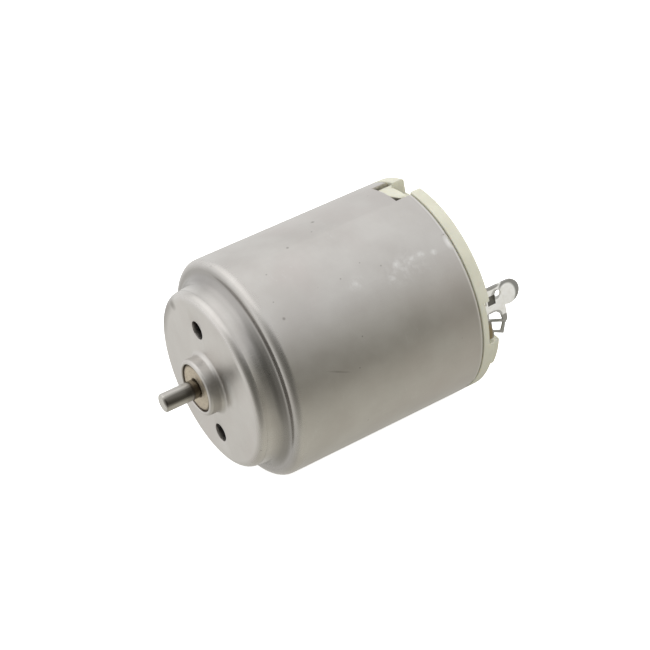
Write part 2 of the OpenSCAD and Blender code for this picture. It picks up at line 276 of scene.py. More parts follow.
class Shader:
    """One node material; measures are in millimetres on the piece."""

    def __init__(self, name, **settings):
        self.material = bpy.data.materials.new(name)
        self.material.use_nodes = True
        self.tree = self.material.node_tree
        self.surface = self.tree.nodes["Principled BSDF"]
        for socket, value in settings.items():
            self.surface.inputs[socket.replace("_", " ")].default_value = value
        place = self.tree.nodes.new("ShaderNodeTexCoord").outputs["Object"]
        scale = self.tree.nodes.new("ShaderNodeVectorMath")
        scale.operation = "SCALE"
        scale.inputs["Scale"].default_value = 1 / MM
        self.link(place, scale.inputs[0])
        self.place = scale.outputs[0]

    def link(self, output, socket):
        self.tree.links.new(output, socket)

    def stretched(self, x, y, z, turn=(0, 0, 0)):
        mapping = self.tree.nodes.new("ShaderNodeMapping")
        mapping.inputs["Scale"].default_value = (x, y, z)
        mapping.inputs["Rotation"].default_value = [math.radians(angle) for angle in turn]
        self.link(self.place, mapping.inputs["Vector"])
        return mapping.outputs[0]

    def along_motor(self):
        """Distance back from the mounting face."""
        split = self.tree.nodes.new("ShaderNodeSeparateXYZ")
        self.link(self.place, split.inputs[0])
        return split.outputs["Y"]

    def from_shaft(self):
        """Distance from the shaft's axis."""
        flat = self.tree.nodes.new("ShaderNodeVectorMath")
        flat.operation = "MULTIPLY"
        flat.inputs[1].default_value = (1, 0, 1)
        self.link(self.place, flat.inputs[0])
        length = self.tree.nodes.new("ShaderNodeVectorMath")
        length.operation = "LENGTH"
        self.link(flat.outputs[0], length.inputs[0])
        return length.outputs["Value"]

    def patch(self, centre, half_sizes, turn=(0, 0, 0), soft=0.5, square=False):
        """1 inside an ellipsoid or a box of the given half sizes, falling to 0 at its surface."""
        mapping = self.tree.nodes.new("ShaderNodeMapping")
        mapping.vector_type = "TEXTURE"
        mapping.inputs["Location"].default_value = centre
        mapping.inputs["Rotation"].default_value = turn
        mapping.inputs["Scale"].default_value = half_sizes
        self.link(self.place, mapping.inputs["Vector"])
        reach = self.tree.nodes.new("ShaderNodeVectorMath")
        reach.operation = "ABSOLUTE" if square else "LENGTH"
        self.link(mapping.outputs[0], reach.inputs[0])
        if not square:
            return self.range(reach.outputs["Value"], soft, 1, 1, 0)
        split = self.tree.nodes.new("ShaderNodeSeparateXYZ")
        self.link(reach.outputs[0], split.inputs[0])
        far = self.larger(self.larger(split.outputs[0], split.outputs[1]), split.outputs[2])
        return self.range(far, soft, 1, 1, 0)

    def patch_on_can(self, degrees, y, across, along, lean=0):
        """Patch of two half sizes on the can's side, at an angle from +Z towards +X."""
        angle = math.radians(degrees)
        leaning = Matrix.Rotation(math.radians(lean), 3, "Z")
        turn = (Matrix.Rotation(angle, 3, "Y") @ leaning).to_euler()
        centre = (CAN_R * math.sin(angle), y, CAN_R * math.cos(angle))
        return self.patch(centre, (across, along, MARK_REACH), turn, soft=0.2)

    def noise(self, scale, detail=4.0, roughness=0.5, place=None, distortion=0.0):
        node = self.tree.nodes.new("ShaderNodeTexNoise")
        node.inputs["Scale"].default_value = scale
        node.inputs["Detail"].default_value = detail
        node.inputs["Roughness"].default_value = roughness
        node.inputs["Distortion"].default_value = distortion
        self.link(place or self.place, node.inputs["Vector"])
        return node.outputs["Fac"]

    def cells(self, scale):
        node = self.tree.nodes.new("ShaderNodeTexVoronoi")
        node.inputs["Scale"].default_value = scale
        self.link(self.place, node.inputs["Vector"])
        return node.outputs["Distance"]

    def range(self, value, from_low, from_high, to_low, to_high):
        node = self.tree.nodes.new("ShaderNodeMapRange")
        for socket, number in zip(node.inputs[1:5], (from_low, from_high, to_low, to_high)):
            socket.default_value = number
        self.link(value, node.inputs[0])
        return node.outputs[0]

    def colours(self, value, *stops):
        node = self.tree.nodes.new("ShaderNodeValToRGB")
        ramp = node.color_ramp
        for i, (at, colour) in enumerate(stops):
            stop = ramp.elements[i] if i < 2 else ramp.elements.new(at)
            stop.position = at
            stop.color = (*colour, 1)
        self.link(value, node.inputs[0])
        return node.outputs[0]

    def mix(self, factor, first, second):
        node = self.tree.nodes.new("ShaderNodeMix")
        node.data_type = "RGBA"
        sockets = (node.inputs[MIX_FACTOR], node.inputs[MIX_A], node.inputs[MIX_B])
        for socket, value in zip(sockets, (factor, first, second)):
            if isinstance(value, bpy.types.NodeSocket):
                self.link(value, socket)
            elif isinstance(value, tuple):
                socket.default_value = (*value, 1)
            else:
                socket.default_value = value
        return node.outputs[MIX_RESULT]

    def math(self, operation, first, second):
        node = self.tree.nodes.new("ShaderNodeMath")
        node.operation = operation
        for socket, value in zip(node.inputs, (first, second)):
            if isinstance(value, bpy.types.NodeSocket):
                self.link(value, socket)
            else:
                socket.default_value = value
        return node.outputs[0]

    def times(self, first, second):
        return self.math("MULTIPLY", first, second)

    def plus(self, first, second):
        return self.math("ADD", first, second)

    def larger(self, first, second):
        return self.math("MAXIMUM", first, second)

    def marked(self, base, mask, strength, colour):
        """Base with a colour laid over it where the mask is, at the given strength."""
        return self.mix(self.times(mask, strength), base, colour)

    def colour(self, value):
        self.link(value, self.surface.inputs["Base Color"])

    def roughness(self, value):
        self.link(value, self.surface.inputs["Roughness"])

    def bump(self, height, depth):
        """Bump from a height in 0 to 1 that stands for the given depth in millimetres."""
        node = self.tree.nodes.new("ShaderNodeBump")
        node.inputs["Distance"].default_value = depth * MM
        self.link(height, node.inputs["Height"])
        self.link(node.outputs[0], self.surface.inputs["Normal"])


# Blobs of the pale smear on the can: degrees, y, half width, half length, lean in degrees
SMEAR_BLOBS = (
    (45.6, 18.9, 0.5, 0.7, 30), (46.1, 21.7, 0.45, 0.8, 10), (47.6, 23.2, 0.4, 0.5, -20),
    (46.7, 20.5, 0.3, 0.9, 35), (50.8, 17.7, 0.4, 0.6, -30), (46, 14, 0.4, 0.4, 0),
)
# Dark specks on the can's side: degrees, y, half size
SIDE_SPECKS = ((-0.7, 15.1, 0.26), (11.3, 10.5, 0.2), (47, 5.4, 0.22))


def plated_steel():
    """Satin zinc plating: blotches, drawing streaks, scuffs, specks, a scratch and a pale smear,
    with painted shade, highlights and dark reflections.
    """
    s = Shader("plated_can", Metallic=1.0)
    blotch = s.noise(0.22, detail=5, roughness=0.55)
    base = s.colours(blotch, (0.35, (0.63, 0.605, 0.575)), (0.65, (0.70, 0.68, 0.65)))
    tint = s.range(s.noise(0.13, detail=2), 0.5, 0.7, 0.0, 0.35)
    base = s.mix(tint, base, (0.64, 0.585, 0.56))
    streak = s.noise(1.0, detail=6, roughness=0.6, place=s.stretched(5.0, 0.35, 5.0))
    grain = s.noise(7.0, detail=3)

    scuff_area = s.range(s.noise(0.16, detail=1), 0.52, 0.62, 0.0, 1.0)
    slanting = s.stretched(0.9, 3.6, 0.9, (0, 20, 35))
    scuff_line = s.noise(1.0, detail=4, roughness=0.7, place=slanting, distortion=0.8)
    scuff = s.times(scuff_area, s.range(scuff_line, 0.6, 0.7, 0.0, 1.0))
    base = s.marked(base, scuff, 0.4, (0.80, 0.79, 0.77))
    speck = s.range(s.cells(0.45), 0.02, 0.05, 1.0, 0.0)
    base = s.marked(base, speck, 0.5, (0.22, 0.20, 0.18))
    along, radius = s.along_motor(), s.from_shaft()

    # Pale smear across the side, a painted highlight along the rear rim and on the crimp at 46
    # degrees, and painted light on the face beside the boss
    smear = s.larger(s.patch_on_can(49, 19.5, 1.9, 3.6, 12), s.patch_on_can(46, 14, 1.0, 1.3))
    broken = s.noise(1.7, detail=5, roughness=0.7)
    smear = s.times(smear, s.range(broken, 0.45, 0.62, 0.0, 0.45))
    for degrees, y, across, length, lean in SMEAR_BLOBS:
        blob = s.patch_on_can(degrees, y, across, length, lean)
        smear = s.larger(smear, s.times(blob, s.range(broken, 0.38, 0.6, 0.2, 1.0)))
    rim = s.larger(s.range(along, 25.2, 25.36, 0.0, 0.55), s.patch_on_can(46, 25.3, 1.1, 0.55))
    base = s.mix(s.larger(s.times(smear, 0.75), rim), base, (0.93, 0.92, 0.90))
    # Painted light on the face beside the boss, laid over the boss's dark reflection there
    painted_light_by_boss = s.patch((4.4, 0, 0.7), (1.4, 0.4, 1.9), soft=0.1)
    base = s.marked(base, painted_light_by_boss, 0.9, (0.95, 0.94, 0.92))

    # Painted shade in the shoulder's corner, a scratch and specks, and painted dark reflections on
    # the nose's far edge and on the boss's side
    corner = s.times(s.range(along, 1.2, 2.5, 0.0, 0.6), s.range(radius, 11.0, 11.7, 1.0, 0.0))
    base = s.mix(corner, base, (0.22, 0.21, 0.20))
    dark = s.times(s.patch_on_can(81, 8.6, 0.12, 1.6, -25), 0.55)
    for degrees, y, size in SIDE_SPECKS:
        dark = s.larger(dark, s.patch_on_can(degrees, y, size, size))
    # Painted dark reflections on the far edge of the nose's rounding
    far_edge = s.patch((-6.6, 0.3, 5.2), (3.4, 1.3, 4.8), soft=0.4)
    dark = s.larger(dark, s.times(far_edge, s.range(radius, 8.1, 9.0, 0.0, 1.0)))
    dark = s.larger(dark, s.patch((-4.8, 0.3, 7.3), (1.0, 0.9, 0.8), soft=0.4))
    # Painted dark reflection on the boss's side
    boss_side = s.patch((3.0, -0.5, 0.9), (1.5, 1.1, 2.2), soft=0.5)
    dark = s.larger(dark, s.times(boss_side, 0.5))
    s.colour(s.marked(base, dark, 0.6, (0.20, 0.18, 0.16)))

    # The drawing die leaves the front of the barrel smoother than the rest
    rough = s.plus(s.range(blotch, 0.3, 0.7, 0.34, 0.42), s.range(streak, 0.3, 0.7, -0.03, 0.03))
    behind_shoulder = s.range(along, SHOULDER_Y, SHOULDER_Y + 2.5, -0.14, 0.0)
    drawn_smooth = s.times(behind_shoulder, s.range(radius, 8.9, 9.3, 0.0, 1.0))
    s.roughness(s.plus(s.plus(rough, drawn_smooth), s.times(scuff, 0.08)))
    s.bump(s.plus(s.times(streak, 0.6), s.times(grain, 0.4)), 0.006)
    return s.material


def ground_steel():
    """Ground shaft: fine rings round it, faint lengthwise rubs, a painted dark reflection down one
    side, and darker towards the bearing.
    """
    s = Shader("shaft_steel", Metallic=1.0)
    rings = s.noise(1.0, detail=3, place=s.stretched(0.3, 22.0, 0.3))
    rubs = s.noise(1.0, detail=4, place=s.stretched(9.0, 0.5, 9.0))
    base = s.colours(rubs, (0.3, (0.52, 0.50, 0.46)), (0.7, (0.64, 0.62, 0.58)))
    # Painted dark reflection: a dark band down one side of the shaft
    painted_dark_streak = s.patch((0.88, -3.4, 0.47), (0.72, 6, 0.72), soft=0.5)
    base = s.marked(base, painted_dark_streak, 0.8, (0.07, 0.06, 0.045))
    # Darker towards the bearing
    oil = s.range(s.along_motor(), -2.7, -1.9, 0.0, 0.65)
    s.colour(s.mix(oil, base, (0.10, 0.08, 0.055)))
    s.roughness(s.range(rings, 0.3, 0.7, 0.13, 0.24))
    s.bump(rings, 0.002)
    return s.material


# Colour of the painted shade along the terminals' edges and openings
PAINTED_EDGE_SHADE = (0.16, 0.155, 0.14)
# Painted shade on a terminal, and one brown mark: y and z, half sizes, where it starts to fade,
# square or not, strength, colour
LUG_SHADE_AND_BROWN_MARK = (
    ((28.5, 1.6), (2, 0.64, 0.64), 0.8, False, 0.55, PAINTED_EDGE_SHADE),  # painted shade round the hole
    ((27.8, -0.8), (2, 1.2, 0.78), 0.9, False, 0.6, PAINTED_EDGE_SHADE),  # painted shade on the arch over the eye
    ((28.1, 2.55), (2, 1.1, 0.3), 0.6, False, 0.8, PAINTED_EDGE_SHADE),  # painted shade along the upper edge by the cap
    ((27.85, 1.15), (1, 0.5, 0.55), 0.9, True, 0.9, (0.05, 0.045, 0.03)),  # painted shadow at the root below the hole
    ((28.2, -2.05), (2, 1.5, 1.15), 0.9, True, 0.8, (0.17, 0.165, 0.14)),  # painted shade on the eye's lower loop
    ((27.1, -2.3), (1, 0.5, 1.4), 0.5, False, 0.85, (0.20, 0.14, 0.05)),  # brown prong
)


def tin_plate():
    """Frosty tin over brass sheet: pale plate with painted shade along the ear's rim and round its
    openings, and a brown mark by the prong.
    """
    s = Shader("tinned_brass", Metallic=0.12)
    wave = s.noise(1.6, detail=3)
    base = s.mix(s.range(wave, 0.4, 0.7, 0.0, 1.0), (0.96, 0.955, 0.93), (0.87, 0.86, 0.82))
    for side in (1, -1):
        x = TERMINAL_X * side
        # Painted shade along the rim of the upper ear
        ear = s.patch((x, 30.05, 1.25 * side), (2, 1.6, 1.6), soft=0.95)
        inside = s.patch((x, 29.78, 1.0 * side), (3, 1.2, 1.45), soft=0.84)
        upper = s.patch((x, 30.7, 1.8 * side), (3, 1.9, 1.85), soft=0.85)
        edge = s.times(s.times(s.range(inside, 0.0, 1.0, 0.85, 0.0), ear), upper)
        base = s.mix(edge, base, PAINTED_EDGE_SHADE)
        for (y, z), half_sizes, soft, square, strength, colour in LUG_SHADE_AND_BROWN_MARK:
            mark = s.patch((x, y, z * side), half_sizes, soft=soft, square=square)
            base = s.marked(base, mark, strength, colour)
    s.colour(base)
    s.roughness(s.range(wave, 0.3, 0.7, 0.30, 0.42))
    s.bump(wave, 0.012)
    return s.material


def sintered_bronze():
    """Porous oil-filled bronze: open pores, oily patches, and painted shade in a ring at its edge.
    """
    s = Shader("sintered_bronze", Metallic=0.85)
    pore = s.range(s.cells(7.0), 0.05, 0.35, 0.0, 1.0)
    oil = s.noise(1.2, detail=4)
    base = s.colours(oil, (0.3, (0.56, 0.48, 0.37)), (0.7, (0.74, 0.66, 0.53)))
    # Painted shade: darker from 2.2 mm out, where the boss's lip shades the face
    base = s.mix(s.range(s.from_shaft(), 2.2, 2.45, 0.0, 0.9), base, (0.12, 0.09, 0.06))
    s.colour(s.mix(pore, (0.20, 0.16, 0.11), base))
    s.roughness(s.range(oil, 0.3, 0.7, 0.38, 0.6))
    s.bump(pore, 0.015)
    return s.material


def cream_nylon():
    """Moulded cream nylon: fine spark-eroded texture, slight cloudiness, shade beside the key."""
    s = Shader("nylon", Subsurface_Weight=0.15, Subsurface_Scale=0.8 * MM, Specular_IOR_Level=0.45)
    s.surface.inputs["Subsurface Radius"].default_value = (1.0, 0.8, 0.5)
    cloud = s.noise(0.35, detail=4)
    base = s.colours(cloud, (0.3, (0.61, 0.60, 0.49)), (0.7, (0.69, 0.68, 0.57)))
    grime = s.range(s.noise(0.7, detail=6, roughness=0.65), 0.58, 0.8, 0.0, 0.3)
    base = s.mix(grime, base, (0.48, 0.44, 0.32))
    for side in (1, -1):
        corner = s.patch((1.4 * side, 24.2, 10.6 * side), (1.5, 0.9, 0.85), soft=0.85, square=True)
        base = s.marked(base, corner, 0.75, (0.10, 0.09, 0.07))
    s.colour(base)
    texture = s.noise(12.0, detail=2)
    s.roughness(s.range(texture, 0.3, 0.7, 0.42, 0.56))
    s.bump(texture, 0.006)
    return s.material


def plain_part(name, low, high, rough, metallic=0.0, scale=1.0, stretch=(1, 1, 1)):
    """Hidden or small part: two tones, varied gloss and a fine surface from one stretched noise."""
    s = Shader(name, Metallic=metallic)
    tone = s.noise(scale, detail=5, roughness=0.6, place=s.stretched(*stretch))
    s.colour(s.colours(tone, (0.3, low), (0.7, high)))
    s.roughness(s.range(tone, 0.3, 0.7, rough - 0.07, rough + 0.07))
    s.bump(s.noise(scale * 6, detail=3, place=s.stretched(*stretch)), 0.01)
    return s.material


# Darker tone, lighter tone, roughness, then what differs from plain_part's own values
PLAIN_PARTS = {
    "ferrite": ((0.035, 0.035, 0.04), (0.08, 0.08, 0.085), 0.6, {"scale": 1.5}),
    "spring_steel": (
        (0.45, 0.46, 0.48), (0.6, 0.61, 0.63), 0.3, {"metallic": 1.0, "stretch": (1, 8, 1)}),
    "spring_bronze": (
        (0.60, 0.36, 0.18), (0.76, 0.50, 0.28), 0.28, {"metallic": 1.0, "stretch": (6, 1, 6)}),
    "carbon": ((0.02, 0.02, 0.02), (0.06, 0.055, 0.05), 0.55, {"scale": 4.0}),
    "white_plastic": ((0.74, 0.74, 0.71), (0.84, 0.84, 0.81), 0.45, {}),
    "brass_spacer": (
        (0.62, 0.47, 0.22), (0.78, 0.62, 0.34), 0.25, {"metallic": 1.0, "stretch": (1, 12, 1)}),
    "lamination_steel": (
        (0.20, 0.21, 0.23), (0.36, 0.37, 0.39), 0.45, {"metallic": 0.9, "scale": 2.0}),
    "green_insulation": ((0.05, 0.20, 0.12), (0.09, 0.28, 0.17), 0.6, {"scale": 2.0}),
    "copper_wire": (
        (0.45, 0.15, 0.06), (0.66, 0.26, 0.11), 0.25, {"metallic": 0.9, "scale": 2.0}),
    "phenolic": ((0.16, 0.035, 0.02), (0.24, 0.06, 0.035), 0.4, {}),
    "copper_bar": (
        (0.66, 0.31, 0.18), (0.84, 0.46, 0.30), 0.22, {"metallic": 1.0, "stretch": (1, 10, 1)}),
    "ceramic": ((0.03, 0.035, 0.07), (0.07, 0.08, 0.13), 0.35, {}),
}

MATERIALS = {
    "plated_can": plated_steel(),
    "shaft_steel": ground_steel(),
    "tinned_brass": tin_plate(),
    "sintered_bronze": sintered_bronze(),
    "nylon": cream_nylon(),
}
for name, (low, high, rough, rest) in PLAIN_PARTS.items():
    MATERIALS[name] = plain_part(name, low, high, rough, **rest)


def dress(piece, slot, body, *nodes):
    """Give a new piece its material and its body, and hide the CAD nodes that it stands for."""
    piece.data.materials.clear()
    piece.data.materials.append(MATERIALS[slot])
    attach(piece, body)
    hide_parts(*nodes)
    return piece


# ---------------------------------------------------------------- camera, floor and light

CAM_AIM = Vector((4.375, 11.882, 2.99)) * MM
CAM_DISTANCE = 0.19995
CAM_AZIMUTH = math.radians(62.66)
CAM_ELEVATION = math.radians(27.72)
CAM_ROLL = math.radians(-11.2)
CAM_LENS = 109.96
CAM_BACK = Vector((
    math.sin(CAM_AZIMUTH) * math.cos(CAM_ELEVATION),
    -math.cos(CAM_AZIMUTH) * math.cos(CAM_ELEVATION),
    math.sin(CAM_ELEVATION),
))


def make_camera():
    """The photo's view of the motor."""
    level_right = Vector((math.cos(CAM_AZIMUTH), math.sin(CAM_AZIMUTH), 0))
    right = level_right * math.cos(CAM_ROLL) + CAM_BACK.cross(level_right) * math.sin(CAM_ROLL)
    up = CAM_BACK.cross(right)
    data = bpy.data.cameras.new("camera")
    data.lens = CAM_LENS
    data.clip_start = 0.01
    camera = bpy.data.objects.new("camera", data)
    turn = Matrix((right, up, CAM_BACK)).transposed().to_4x4()
    camera.matrix_world = Matrix.Translation(CAM_AIM + CAM_BACK * CAM_DISTANCE) @ turn
    bpy.context.scene.collection.objects.link(camera)
    bpy.context.scene.camera = camera


FLOOR_R = 3.0  # metres


def make_floor():
    """White ground that glows a little, as in the photo, and lights nothing by itself."""
    bm = bmesh.new()
    bmesh.ops.create_circle(bm, cap_ends=True, segments=96, radius=FLOOR_R)
    floor = new_piece("floor", bm)
    floor.location.z = -CAN_R * MM
    s = Shader("floor")
    s.surface.inputs["Roughness"].default_value = 0.9
    s.surface.inputs["Specular IOR Level"].default_value = 0.1
    s.surface.inputs["Base Color"].default_value = (0.9, 0.9, 0.9, 1)
    s.surface.inputs["Emission Color"].default_value = (1, 1, 1, 1)
    s.surface.inputs["Emission Strength"].default_value = 0.75
    floor.data.materials.append(s.material)
    floor.visible_glossy = False
    floor.visible_diffuse = False


def make_light(name, direction, distance, size, power):
    """Round soft light that shines on the camera's aim and shows in no reflection."""
    data = bpy.data.lights.new(name, "AREA")
    data.shape = "DISK"
    data.size = size
    data.energy = power
    light = bpy.data.objects.new(name, data)
    towards = Vector(direction).normalized()
    light.location = CAM_AIM + towards * distance
    light.rotation_mode = "QUATERNION"
    light.rotation_quaternion = towards.to_track_quat("Z", "Y")
    light.visible_glossy = False
    bpy.context.scene.collection.objects.link(light)


# What the motor reflects: each ramp has an axis, then stops of level and blue by the cosine
# of the angle between that axis and the direction looked in
HEIGHT = ((-0.35, -0.1, 1), (
    (-0.95, 0.57, 0.87), (-0.72, 0.52, 0.9), (-0.5, 0.61, 0.93), (-0.14, 0.82, 0.96),
    (0.4, 0.86, 1), (0.7, 0.78, 1), (0.88, 0.9, 1),
))
FAR_SIDE = ((0.9, 0.41, -0.1), (
    (0.3, 1, 1), (0.62, 0.94, 1), (0.83, 0.87, 0.98), (0.93, 0.77, 0.95), (0.985, 0.48, 0.92),
))
NEAR_SIDE = ((0.68, -0.71, 0.1), (
    (0.5, 1, 1), (0.75, 0.6, 0.98), (0.9, 0.36, 0.95), (0.97, 0.22, 0.92),
))
BETWEEN = ((0.93, -0.08, 0.30), (
    (0.6, 1, 1), (0.85, 0.85, 1), (0.95, 0.52, 0.98), (0.99, 0.34, 0.95),
))
FACE_GLOW = ((-0.37, -0.58, 0.73), ((0.6, 0.76, 1), (0.92, 1, 1)))
WORLD_STRENGTH = 1.33


def make_world():
    """Even studio light: bright above, softer below, dark in three places by the camera."""
    world = bpy.data.worlds.new("studio")
    bpy.context.scene.world = world
    world.use_nodes = True
    tree = world.node_tree
    direction = tree.nodes.new("ShaderNodeTexCoord").outputs["Generated"]

    def ramp_along(axis, stops):
        dot = tree.nodes.new("ShaderNodeVectorMath")
        dot.operation = "DOT_PRODUCT"
        tree.links.new(direction, dot.inputs[0])
        dot.inputs[1].default_value = Vector(axis).normalized()
        spread = tree.nodes.new("ShaderNodeMapRange")
        spread.inputs["From Min"].default_value = -1
        tree.links.new(dot.outputs["Value"], spread.inputs[0])
        ramp = tree.nodes.new("ShaderNodeValToRGB")
        for i, (at, level, blue) in enumerate(stops):
            position = (at + 1) / 2
            elements = ramp.color_ramp.elements
            stop = elements[i] if i < 2 else elements.new(position)
            stop.position = position
            stop.color = (level, level * (0.8 + 0.2 * blue), level * blue, 1)
        tree.links.new(spread.outputs[0], ramp.inputs[0])
        return ramp.outputs[0]

    def times(first, second):
        both = tree.nodes.new("ShaderNodeMix")
        both.data_type = "RGBA"
        both.blend_type = "MULTIPLY"
        both.inputs[MIX_FACTOR].default_value = 1
        tree.links.new(first, both.inputs[MIX_A])
        tree.links.new(second, both.inputs[MIX_B])
        return both.outputs[MIX_RESULT]

    height, far_side, near_side, between, face_glow = (
        ramp_along(*ramp) for ramp in (HEIGHT, FAR_SIDE, NEAR_SIDE, BETWEEN, FACE_GLOW))
    sides = times(times(height, far_side), times(near_side, face_glow))
    background = tree.nodes["Background"]
    tree.links.new(times(sides, between), background.inputs["Color"])
    background.inputs["Strength"].default_value = WORLD_STRENGTH


make_camera()
make_floor()
make_world()
make_light("top_softbox", (-0.3, 0.1, 1.0), distance=0.9, size=1.1, power=4.0)
make_light("side_softbox", (1.0, -0.1, 0.05), distance=0.6, size=0.5, power=2.4)
bpy.context.scene.view_settings.view_transform = "Standard"


# ---------------------------------------------------------------- can

# Dent that the crimping tool leaves over each lug: a leaning block's cut into the surface
DENT_HALF_W = 0.72
DENT_Y = 25.2
DENT_DEPTH = 0.07
DENT_LEAN = -0.14


def make_can():
    """Drawn can with its nose and boss, two holes, a notch for each key, and four crimps."""
    can = turned("can_shell", rounded([
        (SEAT_R, BOSS_FRONT, 0.12),
        (BOSS_R, BOSS_FRONT, 0.34),
        (BOSS_R, 0, 0.5),
        (NOSE_R, 0, 0.9),
        (NOSE_R, 1.2, 4),
        (NOSE_R + 0.22, 2.3, 1.2),
        (NOSE_R + 0.87, SHOULDER_Y, 0.7),
        (CAN_R, SHOULDER_Y, 0.95),
        (CAN_R, CAN_REAR, 0.42),
        (CAN_INNER_R, CAN_REAR, 0.08),
        (CAN_INNER_R, SHOULDER_Y + CAN_WALL, 0.75),
        (NOSE_R - CAN_WALL, SHOULDER_Y + CAN_WALL, 0.1),
        (NOSE_R - CAN_WALL, CAN_WALL, 0.3),
        (SEAT_R, CAN_WALL, 0.05),
    ], steps=8))
    for side in (-1, 1):
        combine(can, rod("hole", HOLE_R, -1, 2, z=side * HOLE_CIRCLE_R), "DIFFERENCE")
    for degrees in (0, 180):
        notch = block("notch", (NOTCH_LEFT, NOTCH_FRONT, 8), (NOTCH_RIGHT, 27, 14))
        combine(can, turn_about_shaft(notch, degrees), "DIFFERENCE")
    for degrees in CRIMP_ANGLES:
        # The lug ends just short of the rim, as a shared plane would leave the cut ragged
        lug = block(
            "lug",
            (-CRIMP_HALF_W, CRIMP_FRONT, CAN_INNER_R - CRIMP_DEPTH),
            (CRIMP_HALF_W, CAN_REAR - 0.04, CAN_INNER_R + 0.3),
        )
        combine(can, turn_about_shaft(lug, degrees), "UNION")
        dent = block("dent", (-DENT_HALF_W, -0.6, 0), (DENT_HALF_W, 1.4, 2))
        moved = Matrix.Translation(Vector((0, DENT_Y, CAN_R - DENT_DEPTH)) * MM)
        dent.data.transform(moved @ Matrix.Rotation(DENT_LEAN, 4, "X"))
        combine(can, turn_about_shaft(dent, degrees), "DIFFERENCE")
    finish_edges(can, 0.05)
    return dress(can, "plated_can", "stator", "can")


# ---------------------------------------------------------------- bearings and shaft

def make_front_bearing():
    """Flanged bush in the can's boss."""
    profile = rounded([
        (BORE_R, bearing_low.y, 0.14),
        (SEAT_R, bearing_low.y, 0.3),
        (SEAT_R, CAN_WALL, 0.0),
        (BEARING_FLANGE_R, CAN_WALL, 0.05),
        (BEARING_FLANGE_R, bearing_high.y, 0.1),
        (BORE_R, bearing_high.y, 0.05),
    ])
    bearing = turned("front_bush", profile, steps=BUSH_STEPS)
    finish_edges(bearing, 0)
    return dress(bearing, "sintered_bronze", "stator", "front_bearing")


def make_rear_bearing():
    """Plain bush in the cap's boss."""
    profile = rounded([
        (BORE_R, rear_bearing_low.y, 0.05),
        (rear_bearing_high.x, rear_bearing_low.y, 0.1),
        (rear_bearing_high.x, rear_bearing_high.y, 0.15),
        (BORE_R, rear_bearing_high.y, 0.06),
    ])
    bearing = turned("rear_bush", profile, steps=BUSH_STEPS)
    finish_edges(bearing, 0)
    return dress(bearing, "sintered_bronze", "stator", "rear_bearing")


def make_shaft():
    """Shaft with its oil groove in front of the journal."""
    profile = rounded([
        (0, shaft_low.y, 0),
        (SHAFT_R, shaft_low.y, 0.22),
        (SHAFT_R, GROOVE_FRONT, 0.03),
        (GROOVE_R, GROOVE_FRONT, 0.04),
        (GROOVE_R, GROOVE_REAR, 0.04),
        (JOURNAL_R, GROOVE_REAR, 0.03),
        (JOURNAL_R, shaft_high.y, 0.2),
        (0, shaft_high.y, 0),
    ])
    shaft = turned("shaft_rod", profile, steps=SHAFT_STEPS)
    finish_edges(shaft, 0)
    return dress(shaft, "shaft_steel", "rotor", "shaft")


# ---------------------------------------------------------------- end cap

# Outline of the key as (x, y, rounding), and the arc of (radius, y) that it is cut from; the
# guard beside each terminal is such an arc too, and the post behind each spring is a plain block
KEY_OUTLINE = (
    (-1.65, 23.95, 0.12), (0.65, 23.98, 0.1), (2.1, 24.75, 0.1), (2.1, 25.75, 0), (-1.65, 25.75, 0),
)
KEY_ARC = ((10, 23), (11.55, 23), (11.55, 27), (10, 27))
KEY_ARC_ANGLES = (-15, 15)
GUARD = ((10.5, 26.9), (11.4, 26.9), (11.4, 28), (10.5, 28))
GUARD_ANGLES = (107, 127)
POST = ((4.4, 21.8, 7.75), (5.6, 25.25, 9.05))
# Cuts on the right of the cap; the left has the same, turned half round
CAP_CUTS = (
    ((10.3, 26.35, -3.1), (14, 28, 1.8)),  # pocket in the rim round the terminal
    ((10.4, 22.5, -1.15), (10.8, 28, 0.85)),  # slot for the terminal's root
    ((9.5, 22.5, -1.15), (10.75, 25.2, 0.85)),  # room for the root in the skirt
    ((10.05, 25, 0.95), (10.8, 28, 1.75)),  # opening above the root
    ((-6.4, 25, 6), (-3.8, 28, 8)),  # window in the floor
    ((-1.2, 25.35, 10.2), (2, 29, 14)),  # notch in the rim over the key
)


